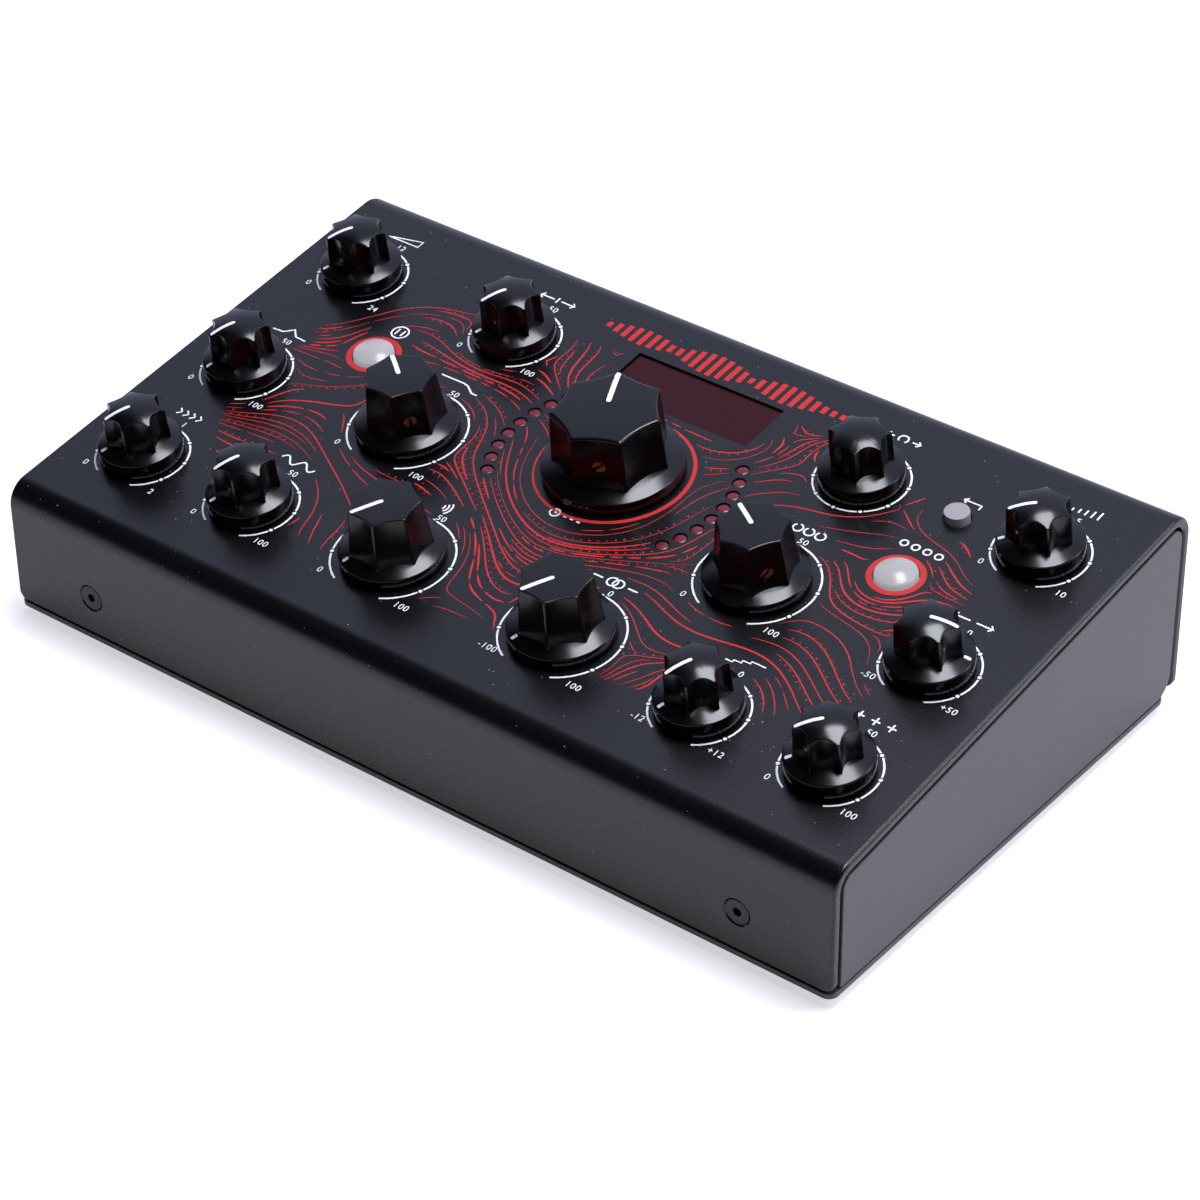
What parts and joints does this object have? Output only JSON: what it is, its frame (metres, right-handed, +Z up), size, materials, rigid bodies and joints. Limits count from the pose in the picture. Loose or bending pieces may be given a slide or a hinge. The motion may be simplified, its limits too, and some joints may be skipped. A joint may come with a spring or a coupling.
{
  "type": "desktop audio delay unit",
  "caption": "Desktop audio delay unit: sloped sheet-metal case with skirted dials, a push encoder, lit buttons, arcs of lights, a display window and rear jacks.",
  "frame": {"origin": "middle of the bounding box at desk level, under the feet", "axes": "+X to the right along the width, +Y from the front wall to the rear wall, +Z up"},
  "size_m": [0.23, 0.136, 0.0643],
  "materials": {
    "panel_coat": "satin powder coat, fine texture",
    "tray_coat": "satin powder coat, fine texture",
    "black_steel": "blackened",
    "foot_rubber": "matte",
    "board": "solder mask",
    "brass": "turned",
    "cable": "matte",
    "bright_steel": "plated",
    "black_plastic": "moulded",
    "red_window": "smoked red acrylic",
    "red_lens": "tinted lens",
    "lit_cap": "translucent",
    "grey_cap": "satin",
    "knob_plastic": "polished"
  },
  "bodies": {
    "case": {"top_cover": "panel_coat", "base_tray": "tray_coat", "cover_screws": "black_steel", "rubber_feet": "foot_rubber", "control_board": "board", "jack_board": "board", "board_standoffs": "brass", "ribbon_cable": "cable", "pot_housings": "bright_steel", "pot_nuts": "bright_steel", "encoder_housing": "black_plastic", "display_module": "black_plastic", "display_window": "red_window", "status_leds": "red_lens", "tact_switches": "black_plastic", "audio_jacks": "black_plastic", "jack_nuts": "bright_steel", "usb_socket": "bright_steel", "power_inlet": "black_plastic", "power_switch_housing": "black_plastic"},
    "gain_dial": {"gain_knob": "knob_plastic", "gain_shaft": "bright_steel"},
    "filter_dial": {"filter_knob": "knob_plastic", "filter_shaft": "bright_steel"},
    "speed_dial": {"speed_knob": "knob_plastic", "speed_shaft": "bright_steel"},
    "depth_dial": {"depth_knob": "knob_plastic", "depth_shaft": "bright_steel"},
    "spread_dial": {"spread_knob": "knob_plastic", "spread_shaft": "bright_steel"},
    "cutoff_dial": {"cutoff_knob": "knob_plastic", "cutoff_shaft": "bright_steel", "cutoff_set_screw": "brass"},
    "reverb_dial": {"reverb_knob": "knob_plastic", "reverb_shaft": "bright_steel", "reverb_set_screw": "brass"},
    "time_dial": {"time_knob": "knob_plastic", "time_shaft": "bright_steel", "time_set_screw": "brass"},
    "data_dial": {"data_knob": "knob_plastic", "data_shaft": "bright_steel"},
    "feedback_dial": {"feedback_knob": "knob_plastic", "feedback_shaft": "bright_steel", "feedback_set_screw": "brass"},
    "mix_dial": {"mix_knob": "knob_plastic", "mix_shaft": "bright_steel", "mix_set_screw": "brass"},
    "pitch_dial": {"pitch_knob": "knob_plastic", "pitch_shaft": "bright_steel"},
    "shimmer_dial": {"shimmer_knob": "knob_plastic", "shimmer_shaft": "bright_steel"},
    "pan_dial": {"pan_knob": "knob_plastic", "pan_shaft": "bright_steel"},
    "volume_dial": {"volume_knob": "knob_plastic", "volume_shaft": "bright_steel"},
    "encoder_push": {"encoder_plunger": "black_plastic"},
    "freeze_key": {"freeze_button": "lit_cap"},
    "tap_key": {"tap_button": "lit_cap"},
    "back_key": {"back_button": "grey_cap"},
    "rocker": {"power_rocker": "black_plastic"}
  },
  "joints": [
    {"name": "gain_turn", "type": "hinge", "parent": "case", "child": "gain_dial", "pos_m": [-0.096, 0.03428, 0.04881], "axis": [0, 0.1357, -0.9907], "range_deg": [-7, 293]},
    {"name": "filter_turn", "type": "hinge", "parent": "case", "child": "filter_dial", "pos_m": [-0.096, -0.00747, 0.04309], "axis": [0, 0.1357, -0.9907], "range_deg": [0, 300]},
    {"name": "speed_turn", "type": "hinge", "parent": "case", "child": "speed_dial", "pos_m": [-0.096, -0.04303, 0.03822], "axis": [0, 0.1357, -0.9907], "range_deg": [0, 300]},
    {"name": "depth_turn", "type": "hinge", "parent": "case", "child": "depth_dial", "pos_m": [-0.0627, -0.04303, 0.03822], "axis": [0, 0.1357, -0.9907], "range_deg": [0, 300]},
    {"name": "spread_turn", "type": "hinge", "parent": "case", "child": "spread_dial", "pos_m": [-0.0492, 0.03428, 0.04881], "axis": [0, 0.1357, -0.9907], "range_deg": [-5, 295]},
    {"name": "cutoff_turn", "type": "hinge", "parent": "case", "child": "cutoff_dial", "pos_m": [-0.0492, -0.00459, 0.04349], "axis": [0, 0.1357, -0.9907], "range_deg": [-98, 202]},
    {"name": "reverb_turn", "type": "hinge", "parent": "case", "child": "reverb_dial", "pos_m": [-0.0237, -0.03986, 0.03865], "axis": [0, 0.1357, -0.9907], "range_deg": [0, 300]},
    {"name": "time_turn", "type": "hinge", "parent": "case", "child": "time_dial", "pos_m": [0, 0.00859, 0.04529], "axis": [0, 0.1357, -0.9907], "range_deg": [-125, 175]},
    {"name": "feedback_turn", "type": "hinge", "parent": "case", "child": "feedback_dial", "pos_m": [0.0492, -0.00459, 0.04349], "axis": [0, 0.1357, -0.9907], "range_deg": [-93, 207]},
    {"name": "mix_turn", "type": "hinge", "parent": "case", "child": "mix_dial", "pos_m": [0.0237, -0.03986, 0.03865], "axis": [0, 0.1357, -0.9907], "range_deg": [0, 300]},
    {"name": "pitch_turn", "type": "hinge", "parent": "case", "child": "pitch_dial", "pos_m": [0.0627, -0.04303, 0.03822], "axis": [0, 0.1357, -0.9907], "range_deg": [0, 300]},
    {"name": "shimmer_turn", "type": "hinge", "parent": "case", "child": "shimmer_dial", "pos_m": [0.096, -0.04303, 0.03822], "axis": [0, 0.1357, -0.9907], "range_deg": [-18, 282]},
    {"name": "pan_turn", "type": "hinge", "parent": "case", "child": "pan_dial", "pos_m": [0.096, -0.00747, 0.04309], "axis": [0, 0.1357, -0.9907], "range_deg": [-225, 75]},
    {"name": "volume_turn", "type": "hinge", "parent": "case", "child": "volume_dial", "pos_m": [0.096, 0.03428, 0.04881], "axis": [0, 0.1357, -0.9907], "range_deg": [-26, 274]},
    {"name": "data_push", "type": "slide", "parent": "case", "child": "encoder_push", "axis": [0, 0.1357, -0.9907], "range_m": [0, 0.0004], "stiffness_N_per_m": 800, "springref_m": -0.001},
    {"name": "data_turn", "type": "hinge", "parent": "encoder_push", "child": "data_dial", "pos_m": [0.0492, 0.03428, 0.04881], "axis": [0, 0.1357, -0.9907], "continuous": true},
    {"name": "freeze_press", "type": "slide", "parent": "case", "child": "freeze_key", "axis": [0, 0.1357, -0.9907], "range_m": [0, 0.0006], "stiffness_N_per_m": 400, "springref_m": -0.001},
    {"name": "tap_press", "type": "slide", "parent": "case", "child": "tap_key", "axis": [0, 0.1357, -0.9907], "range_m": [0, 0.0006], "stiffness_N_per_m": 400, "springref_m": -0.001},
    {"name": "back_press", "type": "slide", "parent": "case", "child": "back_key", "axis": [0, 0.1357, -0.9907], "range_m": [0, 0.0006], "stiffness_N_per_m": 400, "springref_m": -0.001},
    {"name": "power_rock", "type": "hinge", "parent": "case", "child": "rocker", "pos_m": [0.08, 0.062, 0.0195], "axis": [0, 0, -1], "range_deg": [0, 18]}
  ]
}
